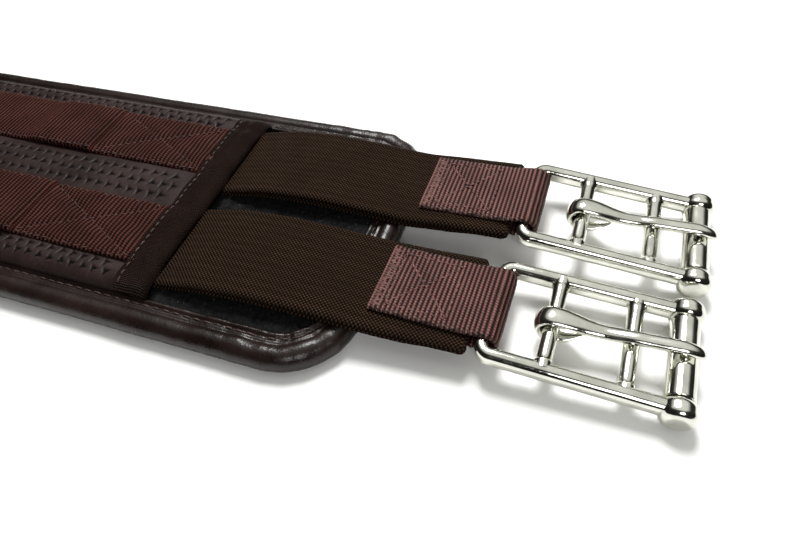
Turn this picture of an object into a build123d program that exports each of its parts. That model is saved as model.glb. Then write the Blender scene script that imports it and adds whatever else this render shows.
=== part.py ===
from build123d import *
from collections import namedtuple
from math import asin, atan2, degrees, hypot
import os

# Saddle girth with two elastic buckle straps at each end, lying flat on its contact face.
#
# Row frame, in millimetres: origin under the middle of the girth on the surface it lies on,
# +X along the girth, +Y across it, +Z up. The left end is the right end turned half a turn
# about +Z, so every piece is built once, for the right end, and placed twice.

# Driving dimensions
GIRTH_LENGTH = 711.0  # buckle tip to buckle tip, a 28 inch girth
PAD_WIDTH = 108.0
STRAP_SPACING = 43.5  # centre to centre of the two straps at one end
WEB_WIDTH = 25.4
ELASTIC_WIDTH = 34.0
FAR_STRAP_LONGER = 2.0  # the strap on the +Y side of the right end is sewn this much longer
SPLIT_GAP = 0.3  # between the two halves, at the bend across the middle

# Buckle, measured from its rear bar towards its tip
RAIL_SPACING = 31.6
RAIL_WIDTH = 4.6
RAIL_HEIGHT = 5.6
RAIL_EDGE_R = 2.2
CORNER_R = 2.9
TONGUE_BAR_X = 17.1
TONGUE_BAR_Z = 0.3
TONGUE_BAR_R = 2.3
MID_BAR_X = 38.8
MID_BAR_Z = -0.2
MID_BAR_R = 2.4
BAR_FLARE = 0.45  # how much thicker a cross bar is where it meets a rail
ROLLER_X = 52.4
ROLLER_Z = -0.6
ROLLER_R = 4.1
BOSS_R = 5.0
BOSS_WIDTH = 6.4
BOSS_EDGE_R = 2.4
BOSS_OUT = 0.4  # how far the bosses sit outside the rails' middle
PIN_R = 1.8
RUNNING_GAP = 0.08  # radial play of the tongue and the roller
FLOOR_GAP = 0.2  # under the buckle's bosses
STRAP_TURN = 2.0  # how far the straps lie turned to one side of the girth, in degrees

# Sheet thicknesses
SKIN_T = 1.0
FOAM_T = 5.0
FELT_T = 0.8
FLANGE_T = 0.8
PLY_T = 1.5
PLY_GAP = 0.1
LAY_GAP = 0.1  # between sheets that slide on each other
LOOP_SLACK = 0.15  # between the rear bar and the webbing folded round it
COVER_T = 1.0
WEB_T = 1.4
TAPE_T = 0.5

# Places along the girth, from the middle
TIP_X = GIRTH_LENGTH / 2
BAR_X = TIP_X - FAR_STRAP_LONGER - ROLLER_X - BOSS_R  # rear bar of the shorter strap's buckle
MOUTH_X = BAR_X - 103.5  # where the elastic leaves the pocket
BAND_WIDTH = 12.0
PAD_END_X = BAR_X - 37.0
PAD_CORNER_R = 24.0
LOOP_TAPER = 9.0  # from the rear bar back to where the webbing's legs meet the elastic
LOOP_LENGTH = 34.5  # from the rear bar back to the sewn end of the webbing
ELASTIC_TIP = 4.6  # from the rear bar back to the fold of the elastic
ELASTIC_ROOT_X = MOUTH_X - 48.0
WEB_STEP_X = BAR_X - 164.0  # where the long webbing ends, on top of the anchor webbing
WEB_LAP = 26.0
BAND_X = MOUTH_X - BAND_WIDTH
TUCK_X = BAND_X + 5.6  # how far the cover and webbing reach into the end band

# Heights
FELT_TOP = SKIN_T + FOAM_T + FELT_T
FLANGE_TOP = FELT_TOP + FLANGE_T
ROOT_Z = FELT_TOP + 2 * LAY_GAP
ROOT_TOP = ROOT_Z + 2 * PLY_T + PLY_GAP
STRAP_Z = (ROOT_Z + ROOT_TOP) / 2  # middle of the two plies at the mouth
COVER_Z = ROOT_TOP + LAY_GAP + TAPE_T
WEB_Z = COVER_Z + COVER_T
BAND_TOP = WEB_Z + WEB_T + LAY_GAP + TAPE_T
CREST_Z = FLANGE_TOP + PLY_T + PLY_GAP + LAY_GAP  # the strap's middle over the pad's end

# Widths across the girth
FOAM_INSET = 3.5
TOP_FLANGE = 10.5
BOTTOM_FLANGE = 8.0
ROLL_R = 3.4
COVER_HALF = 44.0
COVER_LIP = 1.0
STRAP_HALF_T = PLY_T + PLY_GAP / 2
FREE_RUN = PAD_END_X - MOUTH_X  # of strap over the pad
BOW_Z = 12.2  # the strap's middle where it stands proud of the pad
FOLD_R = RAIL_HEIGHT / 2 + LOOP_SLACK  # inside of the webbing's fold

# The two straps of the right end: place across, extra length, height of the rear bar that the
# strap holds off the surface, and how far the buckle lies turned in the plane of the strap
Strap = namedtuple("Strap", "y longer bar_z yaw")
STRAPS = {
    "near": Strap(-STRAP_SPACING / 2, 0.0, 8.2, -3.0),
    "far": Strap(STRAP_SPACING / 2, FAR_STRAP_LONGER, 10.4, -2.0),
}
OTHER_ROW = {"near": "far", "far": "near"}
END_TURNS = {"right": 0, "left": 180}


def strap_run(row):
    """From the mouth to the rear bar, seen from above."""
    return BAR_X + STRAPS[row].longer - MOUTH_X


def mouth(row):
    """Origin on the surface under the strap's mouth, +X along the strap."""
    return Location((MOUTH_X, STRAPS[row].y, 0)) * Rotation(0, 0, STRAP_TURN)


def strap_slope(row):
    """How steeply the strap falls from the pad's end to the rear bar, in degrees."""
    return degrees(atan2(CREST_Z - STRAPS[row].bar_z, strap_run(row) - FREE_RUN))


def loop_frame(row):
    """Origin on the rear bar's axis, +X along the strap away from the girth, +Y along the bar."""
    strap = STRAPS[row]
    place = mouth(row) * Location((strap_run(row), 0, strap.bar_z))
    return place * Rotation(0, strap_slope(row), 0) * Rotation(0, 0, strap.yaw)


def buckle_frame_place(row):
    """The loop's frame turned about the bar until the roller's bosses lie on the surface."""
    rise = degrees(asin((BOSS_R + FLOOR_GAP - ROLLER_Z - STRAPS[row].bar_z) / ROLLER_X))
    return loop_frame(row) * Rotation(0, -strap_slope(row) - rise, 0)


def side_profile(points):
    """A closed outline in the XZ plane, given as (x, z) points."""
    return make_face(Polyline([(x, 0, z) for x, z in points], close=True))


def slab(x0, x1, half_width, z0, z1, y=0.0):
    """A box from x0 to x1 and z0 to z1, centred across on y."""
    centre = ((x0 + x1) / 2, y, (z0 + z1) / 2)
    return Pos(*centre) * Box(x1 - x0, 2 * half_width, z1 - z0)


# The pad and what is sewn to it


def pad_outline(inset):
    """The right half of the pad seen from above, with rounded corners at its end."""
    half = PAD_WIDTH / 2 - inset
    corner = PAD_CORNER_R - inset
    x0, x1 = SPLIT_GAP / 2, PAD_END_X - inset
    edge = [
        Line((x0, -half), (x1 - corner, -half)),
        RadiusArc((x1 - corner, -half), (x1, -half + corner), -corner),
        Line((x1, -half + corner), (x1, half - corner)),
        RadiusArc((x1, half - corner), (x1 - corner, half), -corner),
        Line((x1 - corner, half), (x0, half)),
        Line((x0, half), (x0, -half)),
    ]
    return make_face(Wire(edge))


def pad_layer(inset, z0, z1):
    return Pos(0, 0, z0) * extrude(pad_outline(inset), z1 - z0)


def base_skin():
    return pad_layer(BOTTOM_FLANGE + LAY_GAP, 0, SKIN_T)


def foam_core():
    return pad_layer(FOAM_INSET, SKIN_T, SKIN_T + FOAM_T)


def felt_lining():
    return pad_layer(FOAM_INSET, SKIN_T + FOAM_T, FELT_TOP)


def edge_binding():
    """Leather rolled round the pad's edge, with a flange above and below the layers it holds."""
    roll = pad_layer(0, 0, FLANGE_TOP)
    rim = [
        e
        for e in roll.edges()
        if abs(e.center().Z) < 1e-3 or abs(e.center().Z - FLANGE_TOP) < 1e-3
    ]
    rim = [e for e in rim if e.bounding_box().max.X > SPLIT_GAP]
    roll = fillet(rim, ROLL_R)
    roll -= pad_layer(FOAM_INSET, SKIN_T, FELT_TOP)
    roll -= pad_layer(TOP_FLANGE, FELT_TOP, FLANGE_TOP)
    return roll - pad_layer(BOTTOM_FLANGE, 0, SKIN_T)


def cover_padding():
    """The padding under the cover, up to where the elastic's tails begin."""
    half = COVER_HALF - COVER_LIP - LAY_GAP
    return slab(SPLIT_GAP / 2, ELASTIC_ROOT_X - 2, half, FELT_TOP, COVER_Z)


def perforated_cover():
    """The top sheet, with lips down to the binding along both sides."""
    top = slab(SPLIT_GAP / 2, TUCK_X, COVER_HALF, COVER_Z, COVER_Z + COVER_T)
    for sign in (-1, 1):
        lip_y = sign * (COVER_HALF - COVER_LIP / 2)
        top += slab(SPLIT_GAP / 2, BAND_X, COVER_LIP / 2, FLANGE_TOP, COVER_Z, lip_y)
    return top


def long_webbing(row):
    """The webbing along the girth, which climbs onto the anchor webbing at its end."""
    x0, x1 = SPLIT_GAP / 2, WEB_STEP_X
    lap = x1 - WEB_LAP
    low, high = WEB_Z, WEB_Z + WEB_T
    ramp = 3 * WEB_T
    face = side_profile(
        [
            (x0, low),
            (lap - ramp, low),
            (lap, high),
            (x1, high),
            (x1, high + WEB_T),
            (lap, high + WEB_T),
            (lap - ramp, high),
            (x0, high),
        ]
    )
    return Pos(0, STRAPS[row].y, 0) * extrude(face, WEB_WIDTH / 2, both=True)


def anchor_webbing(row):
    """The short webbing that the elastic's tails are sewn to, under the end of the long one."""
    y = STRAPS[row].y
    return slab(WEB_STEP_X - WEB_LAP + 1, TUCK_X, WEB_WIDTH / 2, WEB_Z, WEB_Z + WEB_T, y)


def end_band():
    """Tape folded over the end of the cover, above the mouth that the elastic comes out of."""
    tape = slab(BAND_X, MOUTH_X, COVER_HALF, COVER_Z - TAPE_T, BAND_TOP)
    nose = tape.edges().filter_by(Axis.Y).sort_by(Axis.X)[-2:]
    tape = fillet(nose, 1.6)
    inner = COVER_HALF + 1
    tape -= slab(BAND_X, TUCK_X, inner, COVER_Z, WEB_Z)
    for strap in STRAPS.values():
        tape -= slab(BAND_X, TUCK_X, WEB_WIDTH / 2, WEB_Z, WEB_Z + WEB_T, strap.y)
    return tape


# The elastic straps


def elastic_root(row):
    """The strap's two tails, sewn into the pocket behind the mouth."""
    tails = []
    for z in (ROOT_Z, ROOT_Z + PLY_T + PLY_GAP):
        tails.append(
            slab(ELASTIC_ROOT_X, MOUTH_X, ELASTIC_WIDTH / 2, z, z + PLY_T, STRAPS[row].y)
        )
    return Compound(children=tails)


def elastic_strap(row):
    """One elastic folded in two, from the mouth over the pad's end to the fold at the buckle."""
    run, bar_z = strap_run(row), STRAPS[row].bar_z
    back = (ELASTIC_TIP + STRAP_HALF_T) / hypot(run - FREE_RUN, CREST_Z - bar_z)
    tip = (run - back * (run - FREE_RUN), bar_z + back * (CREST_Z - bar_z))
    centre = [
        (1.0, STRAP_Z),
        (0.25 * FREE_RUN, BOW_Z - 0.6),
        (0.5 * FREE_RUN, BOW_Z),
        (0.8 * FREE_RUN, BOW_Z - 1.5),
        (FREE_RUN, CREST_Z),
        tip,
    ]

    def shifted(by):
        return [(x, z + by) for x, z in centre]

    body = side_profile(shifted(STRAP_HALF_T) + shifted(-STRAP_HALF_T)[::-1])
    body += Plane.XZ * Pos(tip[0], tip[1]) * Circle(STRAP_HALF_T)
    body -= side_profile(shifted(PLY_GAP / 2) + shifted(-PLY_GAP / 2)[::-1])
    return mouth(row) * extrude(body, ELASTIC_WIDTH / 2, both=True)


def webbing_loop(row):
    """Webbing folded round the buckle's rear bar, sewn to the elastic from both sides."""
    inner, outer = FOLD_R, FOLD_R + WEB_T
    leg_in = STRAP_HALF_T + LAY_GAP
    leg_out = leg_in + WEB_T
    end, narrow = -LOOP_LENGTH, -LOOP_TAPER
    outline = [
        Polyline((end, 0, leg_in), (end, 0, leg_out), (narrow, 0, leg_out), (0, 0, outer)),
        ThreePointArc((0, 0, outer), (outer, 0, 0), (0, 0, -outer)),
        Polyline((0, 0, -outer), (narrow, 0, -leg_out), (end, 0, -leg_out), (end, 0, -leg_in)),
        Polyline((end, 0, -leg_in), (narrow, 0, -leg_in), (0, 0, -inner)),
        ThreePointArc((0, 0, -inner), (inner, 0, 0), (0, 0, inner)),
        Polyline((0, 0, inner), (narrow, 0, leg_in), (end, 0, leg_in)),
    ]
    edges = [e for piece in outline for e in piece.edges()]
    loop = extrude(make_face(Wire(edges)), WEB_WIDTH / 2, both=True)
    return loop_frame(row) * loop


# The buckle, in its own frame: origin on the rear bar, +X to the tip, +Y along the bars


def across(radius, half_length, x, z=0.0):
    """A round bar along Y."""
    return Pos(x, 0, z) * Rotation(90, 0, 0) * Cylinder(radius, 2 * half_length)


def flared_bar(radius, x, z):
    """A bar between the rails that widens a little into each of them."""
    wall = RAIL_SPACING / 2
    face = wall - RAIL_WIDTH / 2
    wide = radius + BAR_FLARE
    profile = [
        Spline([(radius, face - 2.2), (wide, face)], tangents=[(0, 1), (0.6, 1)]),
        Polyline((wide, face), (wide, wall), (0, wall), (0, -wall), (wide, -wall), (wide, -face)),
        Spline([(wide, -face), (radius, 2.2 - face)], tangents=[(-0.6, 1), (0, 1)]),
        Line((radius, 2.2 - face), (radius, face - 2.2)),
    ]
    edges = [e for piece in profile for e in piece.edges()]
    return Pos(x, 0, z) * revolve(make_face(Wire(edges)), Axis.Y)


def cast_frame():
    """Both rails and the rear bar in one bent rod, two cross bars, and a boss for the roller's pin."""
    half = RAIL_SPACING / 2
    path = FilletPolyline((ROLLER_X, -half), (0, -half), (0, half), (ROLLER_X, half), radius=CORNER_R)
    rod = RectangleRounded(RAIL_HEIGHT, RAIL_WIDTH, RAIL_EDGE_R)
    section = Plane((ROLLER_X, -half, 0), x_dir=(0, 0, 1), z_dir=(-1, 0, 0)) * rod
    frame = sweep(section, path=path)
    frame += flared_bar(TONGUE_BAR_R, TONGUE_BAR_X, TONGUE_BAR_Z)
    frame += flared_bar(MID_BAR_R, MID_BAR_X, MID_BAR_Z)
    for sign in (-1, 1):
        boss = across(BOSS_R, BOSS_WIDTH / 2, 0)
        boss = fillet(boss.edges().filter_by(GeomType.CIRCLE), BOSS_EDGE_R)
        frame += Pos(ROLLER_X, sign * (half + BOSS_OUT), ROLLER_Z) * boss
    return frame - across(PIN_R, RAIL_SPACING, ROLLER_X, ROLLER_Z)


def roller_pin():
    half = RAIL_SPACING / 2 + BOSS_OUT + BOSS_WIDTH / 2
    return across(PIN_R, half, ROLLER_X, ROLLER_Z)


def roller():
    half = RAIL_SPACING / 2 + BOSS_OUT - BOSS_WIDTH / 2 - 0.2
    tube = across(ROLLER_R, half, ROLLER_X, ROLLER_Z)
    tube = fillet(tube.edges().filter_by(GeomType.CIRCLE), 0.4)
    return tube - across(PIN_R + RUNNING_GAP, half + 1, ROLLER_X, ROLLER_Z)


TONGUE_EYE_R = 5.3
TONGUE_EYE_WIDTH = 6.6
TONGUE_WIDTH = 4.2
TONGUE_T = 2.3
TONGUE_TIP_X = ROLLER_X + 4.4
REST_GAP = 0.3  # between the tongue and the bars it lies over


def tongue():
    """An eye wrapped round the tongue bar, and an arm that dips to the mid bar and rises to the roller."""
    eye_x, eye_z = TONGUE_BAR_X, TONGUE_BAR_Z
    on_bar = MID_BAR_Z + MID_BAR_R + REST_GAP
    on_roller = ROLLER_Z + ROLLER_R + REST_GAP
    flap_tip = (eye_x + 9.4, eye_z - 0.6)
    over = [
        (eye_x, eye_z + TONGUE_EYE_R),
        (eye_x + 4.6, eye_z + TONGUE_EYE_R - 0.6),
        (eye_x + 9.5, on_bar + TONGUE_T - 0.5),
        (eye_x + 14.5, on_bar + TONGUE_T - 0.7),
        (MID_BAR_X, on_bar + TONGUE_T),
        (ROLLER_X - 1.5, on_roller + TONGUE_T),
        (TONGUE_TIP_X, on_roller + 0.6),
    ]
    under = [
        (TONGUE_TIP_X - 0.3, on_roller - 0.5),
        (ROLLER_X + 1.0, on_roller + 0.1),
        (ROLLER_X - 3.0, on_roller - 0.1),
        (MID_BAR_X, on_bar),
        (eye_x + 13.0, on_bar - 0.9),
        (eye_x + 8.5, on_bar - 0.5),
        (eye_x + 5.8, eye_z + 1.2),
    ]
    top = Spline([(x, 0, z) for x, z in over], tangents=[(1, 0, 0), (1, 0, -0.8)])
    low = Spline([(x, 0, z) for x, z in under], tangents=[(-1, 0, 0.5), (-1, 0, -0.2)])
    wrap = Polyline(
        (under[-1][0], 0, under[-1][1]),
        (flap_tip[0], 0, flap_tip[1]),
        (eye_x + 2.0, 0, eye_z - TONGUE_EYE_R + 0.5),
        (eye_x, 0, eye_z),
        (over[0][0], 0, over[0][1]),
    )
    tip = Line((over[-1][0], 0, over[-1][1]), (under[0][0], 0, under[0][1]))
    outline = Wire([top.edge(), tip.edge(), low.edge(), *wrap.edges()])
    arm = extrude(make_face(outline), TONGUE_EYE_WIDTH / 2, both=True)
    arm += across(TONGUE_EYE_R, TONGUE_EYE_WIDTH / 2, eye_x, eye_z)
    half, eye_half = TONGUE_WIDTH / 2, TONGUE_EYE_WIDTH / 2
    side = [
        (eye_x - 8, eye_half),
        (eye_x + 3, eye_half),
        (eye_x + 16, half),
        (TONGUE_TIP_X - 3, half),
        (TONGUE_TIP_X + 1, half * 0.5),
    ]
    plan = Polyline(*side, *[(x, -y) for x, y in side[::-1]], close=True)
    arm &= Pos(0, 0, -10) * extrude(make_face(plan), 30)
    return arm - across(TONGUE_BAR_R + RUNNING_GAP, TONGUE_EYE_WIDTH, eye_x, eye_z)


def buckle_pieces():
    return {
        "buckle_frame": cast_frame(),
        "roller_pin": roller_pin(),
        "roller": roller(),
        "tongue": tongue(),
    }


def right_end():
    """Every piece of the right half, keyed by (piece, row); row is None for the whole width."""
    pieces = {
        ("base_skin", None): base_skin(),
        ("foam_core", None): foam_core(),
        ("felt_lining", None): felt_lining(),
        ("edge_binding", None): edge_binding(),
        ("cover_padding", None): cover_padding(),
        ("perforated_cover", None): perforated_cover(),
        ("end_band", None): end_band(),
    }
    hardware = buckle_pieces()
    for row in STRAPS:
        pieces[("long_webbing", row)] = long_webbing(row)
        pieces[("anchor_webbing", row)] = anchor_webbing(row)
        pieces[("elastic_root", row)] = elastic_root(row)
        pieces[("elastic_strap", row)] = elastic_strap(row)
        pieces[("webbing_loop", row)] = webbing_loop(row)
        for name, shape in hardware.items():
            pieces[(name, row)] = buckle_frame_place(row) * shape
    return pieces


def node_name(piece, end, row):
    """The row is the side of the girth, near at -Y, so it swaps when the end is turned round."""
    if row is None:
        return f"{piece}_{end}"
    side = row if end == "right" else OTHER_ROW[row]
    return f"{piece}_{end}_{side}"


def main():
    os.makedirs("parts", exist_ok=True)
    for (piece, row), shape in right_end().items():
        for end, turn in END_TURNS.items():
            placed = Rotation(0, 0, turn) * shape
            export_step(placed, f"parts/{node_name(piece, end, row)}.step")


main()
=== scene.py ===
from math import asin, atan2, cos, degrees, hypot, pi, radians, sin

import bpy
import numpy as np
from mathutils import Matrix, Vector


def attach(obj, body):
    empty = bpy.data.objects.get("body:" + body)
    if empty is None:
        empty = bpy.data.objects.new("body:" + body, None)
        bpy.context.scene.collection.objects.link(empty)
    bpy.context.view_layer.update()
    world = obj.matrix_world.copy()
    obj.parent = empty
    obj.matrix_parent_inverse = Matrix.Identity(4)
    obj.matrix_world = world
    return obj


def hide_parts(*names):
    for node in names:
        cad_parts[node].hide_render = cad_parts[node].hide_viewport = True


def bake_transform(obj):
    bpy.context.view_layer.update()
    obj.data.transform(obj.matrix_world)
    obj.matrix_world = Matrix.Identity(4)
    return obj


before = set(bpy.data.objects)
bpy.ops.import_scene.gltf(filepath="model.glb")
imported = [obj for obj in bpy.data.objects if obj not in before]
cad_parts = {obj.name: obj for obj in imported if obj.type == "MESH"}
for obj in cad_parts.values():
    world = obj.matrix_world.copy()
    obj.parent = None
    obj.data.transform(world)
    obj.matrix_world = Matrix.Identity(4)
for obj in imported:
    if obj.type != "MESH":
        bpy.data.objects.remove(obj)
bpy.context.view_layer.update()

MM = 0.001

# ---------------------------------------------------------------- dimensions, in millimetres

PAD_HALF = 54.0
PAD_END_X = 259.1
PAD_CORNER_R = 24.0
LIP = 10.6  # from the pad's edge to the inner edge of the leather lip
COVER_HALF = 44.2
MOUTH_X = 192.6
BAND_X = 180.6
ROW_Y = 21.75
ROW_HALF = 12.7
WEB_T = 1.4
WEB_LOW = 11.7
STEP_X = 132.1
LAP_X = 106.1
STRAP_TURN = 2.0
ELASTIC_HALF = 17.0
PLY_T = 1.5
FREE_RUN = 66.5
CREST_Z = 9.3
BAR_RUN = {"near": 103.5, "far": 105.5}
BAR_Z = {"near": 8.2, "far": 10.4}
YAW = {"near": -3.0, "far": -2.0}
ROW_SIDE = {"near": -1, "far": 1}
LOOP_BACK = 34.5
TAPER = 9.0


# ---------------------------------------------------------------- mesh helpers


def piece(name, points, faces, material, lay=None):
    """A smooth object from points in millimetres. lay gives each point its place on the cloth."""
    points = np.asarray(points, float)
    faces = np.asarray(faces, np.int32)
    mesh = bpy.data.meshes.new(name)
    mesh.vertices.add(len(points))
    mesh.vertices.foreach_set("co", (points * MM).ravel())
    mesh.loops.add(faces.size)
    mesh.loops.foreach_set("vertex_index", faces.ravel())
    mesh.polygons.add(len(faces))
    mesh.polygons.foreach_set("loop_start", np.arange(0, faces.size, faces.shape[1], dtype=np.int32))
    mesh.polygons.foreach_set("use_smooth", np.ones(len(faces), bool))
    mesh.update(calc_edges=True)
    mesh.validate()
    if lay is not None:
        mesh.attributes.new("lay", "FLOAT_VECTOR", "POINT")
        mesh.attributes["lay"].data.foreach_set("vector", np.asarray(lay, float).ravel())
    mesh.materials.append(material)
    made = bpy.data.objects.new(name, mesh)
    bpy.context.scene.collection.objects.link(made)
    return made


def wrap_faces(rings, around, loop=False):
    """Quads between closed rings of points, with flat caps unless the rings join up."""
    r = np.arange(rings if loop else rings - 1)[:, None]
    a = np.arange(around)[None, :]
    b = (a + 1) % around
    s = (r + 1) % rings
    quads = np.stack([r * around + a, r * around + b, s * around + b, s * around + a], -1)
    quads = quads.reshape(-1, 4)
    if loop:
        return quads
    k = np.arange(around // 2 - 1)
    cap = np.stack([k + 1, k, around - 1 - k, around - 2 - k], -1)
    return np.concatenate([quads, cap, cap[:, ::-1] + (rings - 1) * around])


def soft_noise(x, y, size, seed):
    """Smooth random bumps between -1 and 1, about size across."""
    lattice = np.random.default_rng(seed).uniform(-1, 1, (128, 128))
    gx, gy = np.asarray(x, float) / size + 61.3, np.asarray(y, float) / size + 27.7
    ix, iy = np.floor(gx).astype(int), np.floor(gy).astype(int)
    fx, fy = gx - ix, gy - iy
    fx, fy = fx * fx * (3 - 2 * fx), fy * fy * (3 - 2 * fy)

    def at(i, j):
        return lattice[(ix + i) % 128, (iy + j) % 128]

    low = at(0, 0) * (1 - fx) + at(1, 0) * fx
    high = at(0, 1) * (1 - fx) + at(1, 1) * fx
    return low * (1 - fy) + high * fy


def smooth_step(x, low, high):
    t = np.clip((np.asarray(x, float) - low) / (high - low), 0, 1)
    return t * t * (3 - 2 * t)


def run_along(line):
    """How far along the line each of its points is."""
    return np.concatenate([[0], np.cumsum(np.linalg.norm(np.diff(line, axis=0), axis=1))])


def directions(line):
    """The unit directions along a line in the XZ plane, and square to it on its upper side."""
    ahead = np.gradient(line, axis=0)
    ahead /= np.linalg.norm(ahead, axis=1)[:, None]
    return ahead, np.stack([-ahead[:, 1], ahead[:, 0]], 1)


def smooth_line(points, step):
    """A smooth line through the points, resampled at an even step."""
    p = np.asarray(points, float)
    p = np.concatenate([2 * p[:1] - p[1:2], p, 2 * p[-1:] - p[-2:-1]])
    t = np.linspace(0, 1, 24, endpoint=False)[:, None]
    parts = []
    for a, b, c, d in zip(p[:-3], p[1:-2], p[2:-1], p[3:]):
        parts.append(
            0.5 * (2 * b + (c - a) * t + (2 * a - 5 * b + 4 * c - d) * t**2 + (3 * b - a - 3 * c + d) * t**3)
        )
    line = np.concatenate(parts + [p[-2:-1]])
    return resample(line, step)


def resample(line, step, closed=False):
    along = run_along(line)
    count = max(3, int(round(along[-1] / step)))
    at = np.linspace(0, along[-1], count + 1)
    if closed:
        at = at[:-1]
    return np.stack([np.interp(at, along, line[:, k]) for k in range(line.shape[1])], 1)


def tape_section(half, thick, across, edge=0.35):
    """The outline of a flat tape: a width and a side, +1 on the top, -1 underneath."""
    v = np.linspace(-half, half, across)
    drop = 1 - np.clip((np.abs(v) - (half - edge)) / edge, 0, 1) ** 2 * 0.75
    top = np.stack([v, drop * thick / 2], 1)
    low = np.stack([v[::-1], -drop[::-1] * thick / 2], 1)
    return np.concatenate([top, low])


def tape(name, line, half, thick, across, material, relief, place):
    """A tape swept along a line in the XZ plane, with relief(s, v, side) added to its faces."""
    line = np.asarray(line, float)
    up = directions(line)[1]
    s = run_along(line)
    section = tape_section(half, thick, across)
    v = np.broadcast_to(section[None, :, 0], (len(s), len(section)))
    n = np.broadcast_to(section[None, :, 1], v.shape).copy()
    side = np.sign(n)
    ss = np.broadcast_to(s[:, None], v.shape)
    if relief is not None:
        n = n + relief(ss, v, side)
    x = line[:, None, 0] + up[:, None, 0] * n
    z = line[:, None, 1] + up[:, None, 1] * n
    points = np.stack([x, v, z], -1).reshape(-1, 3)
    points = place(points)
    lay = np.stack([ss, v, side], -1).reshape(-1, 3)
    return piece(name, points, wrap_faces(len(s), len(section)), material, lay)


def turned(points, axis, angle):
    c, s = cos(radians(angle)), sin(radians(angle))
    x, y, z = points[:, 0], points[:, 1], points[:, 2]
    if axis == "z":
        return np.stack([c * x - s * y, s * x + c * y, z], 1)
    return np.stack([c * x + s * z, y, -s * x + c * z], 1)


def at_mouth(row, end):
    """From the strap's own frame, on the surface under the mouth, to the girth's."""

    def place(points):
        p = turned(np.asarray(points, float), "z", STRAP_TURN)
        p = p + (MOUTH_X, ROW_SIDE[row] * ROW_Y, 0)
        return turned(p, "z", END_TURN[end])

    return place


def strap_slope(row):
    return degrees(atan2(CREST_Z - BAR_Z[row], BAR_RUN[row] - FREE_RUN))


def at_bar(row, end):
    """From the webbing loop's frame, on the buckle's rear bar, to the girth's."""
    outer = at_mouth(row, end)

    def place(points):
        p = turned(np.asarray(points, float), "z", YAW[row])
        p = turned(p, "y", strap_slope(row))
        return outer(p + (BAR_RUN[row], 0, BAR_Z[row]))

    return place


END_TURN = {"right": 0, "left": 180}
KNOP_ALONG, KNOP_ACROSS = 1.3, 1.2
BINDING_STEP = 0.8
# the punched rows' Y, and how far each is shifted, as a share of the pitch
PUNCH_ROWS = (
    (-5.0, 0.0),
    (0.0, 0.5),
    (5.0, 0.0),
    (-39.8, 0.5),
    (-36.2, 0.0),
    (39.8, 0.5),
    (36.2, 0.0),
)

STITCH_RING = np.array([(cos(a), sin(a)) for a in np.linspace(0, 2 * pi, 6, endpoint=False)])
STITCH_SIZES = ((-1.0, 0.35), (-0.72, 0.86), (0.0, 1.0), (0.72, 0.86), (1.0, 0.35))


def threads(name, runs, material, radius=0.34):
    """Short rounded stitches, each from a start to an end with the cloth's own up direction."""
    starts = np.array([r[0] for r in runs], float)
    ends = np.array([r[1] for r in runs], float)
    ups = np.array([r[2] for r in runs], float)
    middle, half = (starts + ends) / 2, (ends - starts) / 2
    ahead = half / np.linalg.norm(half, axis=1)[:, None]
    side = np.cross(ahead, ups)
    side /= np.linalg.norm(side, axis=1)[:, None]
    top = np.cross(side, ahead)
    rings = []
    for along, size in STITCH_SIZES:
        centre = middle + half * along - top * radius * 0.55 * along**2
        for c, s in STITCH_RING:
            rings.append(centre + (side * c + top * s * 0.8) * radius * size)
    points = np.stack(rings, 1)
    ring = len(STITCH_RING)
    one = wrap_faces(len(STITCH_SIZES), ring)
    faces = (one[None] + (np.arange(len(runs)) * ring * len(STITCH_SIZES))[:, None, None]).reshape(-1, 4)
    return piece(name, points.reshape(-1, 3), faces, material)


def stitch_runs(line, ups, stitch, gap, slant=0.0, seed=1):
    """Stitches along a line, each turned a little across it by slant, in millimetres."""
    line, ups = np.asarray(line, float), np.asarray(ups, float)
    along = run_along(line)
    count = int(along[-1] // (stitch + gap))
    rng = np.random.default_rng(seed)
    runs = []
    for k in range(count):
        a = k * (stitch + gap) + gap / 2 + rng.uniform(-0.08, 0.08)
        p, q, u = (
            np.array([np.interp(t, along, source[:, i]) for i in range(3)])
            for t, source in ((a, line), (a + stitch, line), (a + stitch / 2, ups))
        )
        sideways = np.cross(q - p, u)
        sideways /= max(np.linalg.norm(sideways), 1e-9)
        wobble = rng.uniform(-0.08, 0.08)
        runs.append((p + sideways * (wobble - slant), q + sideways * (wobble + slant), u))
    return runs


# ---------------------------------------------------------------- materials


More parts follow.
